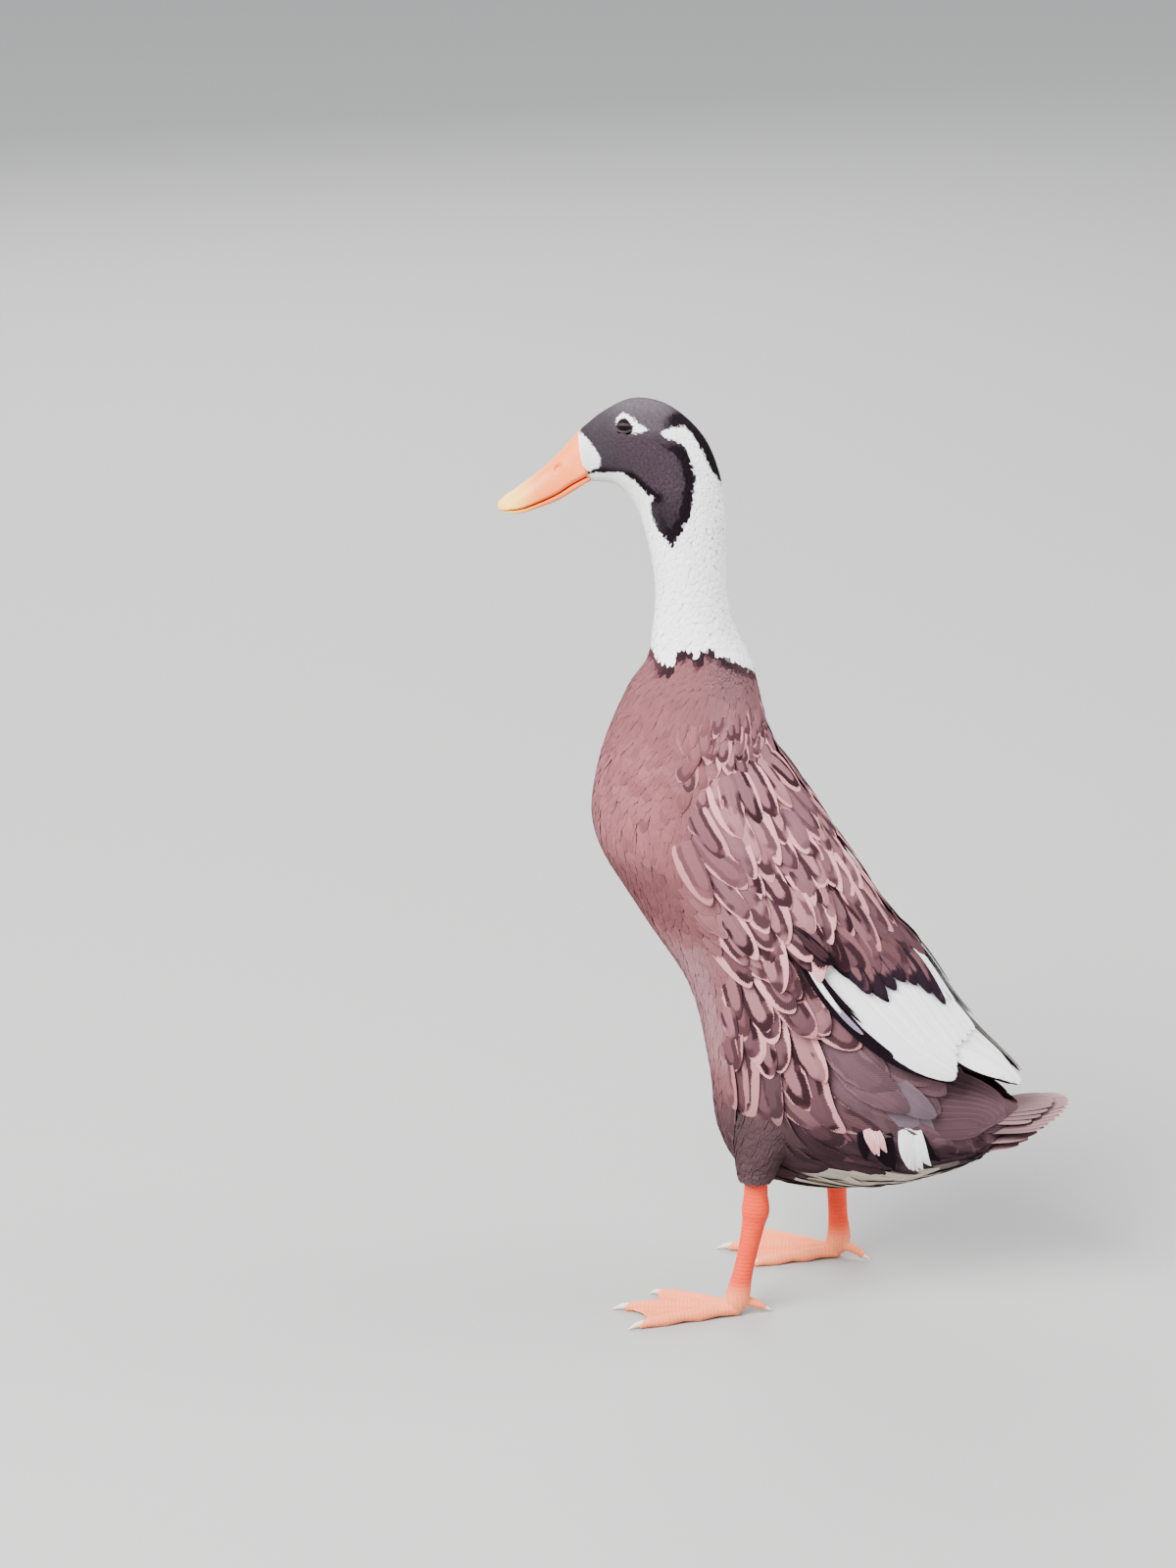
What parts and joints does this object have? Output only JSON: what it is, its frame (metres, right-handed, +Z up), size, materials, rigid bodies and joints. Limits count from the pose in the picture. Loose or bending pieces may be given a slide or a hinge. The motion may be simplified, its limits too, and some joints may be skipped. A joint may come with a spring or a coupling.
{
  "type": "indian runner duck",
  "caption": "Life-size still model of an upright indian runner duck, fawn and white with orange legs and bill, standing on two flat webbed feet.",
  "frame": {"origin": "on the floor, under the middle of the duck's bounding box", "axes": "+Z up, the duck faces -Y, its left side is towards +X"},
  "size_m": [0.1538, 0.3519, 0.5688],
  "materials": {
    "fawn_feathers": "soft matte feathers, pinkish fawn with brown pencilling",
    "wing_feathers": "smooth matte vanes, brown and white",
    "tail_feathers": "smooth matte vanes, dull brown",
    "white_feathers": "soft matte white feathers",
    "dark_feathers": "short matte feathers, dark grey-brown",
    "leg_skin": "scaly satin skin, salmon orange",
    "bill_horn": "satin horn, orange yellow with a paler tip",
    "eye_dark": "wet and glossy, near black"
  },
  "bodies": {
    "root": {"torso": "fawn_feathers", "neck": "white_feathers", "head": "dark_feathers", "eye_left": "eye_dark", "eye_right": "eye_dark", "bill_upper": "bill_horn", "bill_lower": "bill_horn", "wing_left": "wing_feathers", "wing_right": "wing_feathers", "tail": "tail_feathers", "leg_left": "leg_skin", "leg_right": "leg_skin", "foot_left": "leg_skin", "foot_right": "leg_skin"}
  },
  "joints": []
}
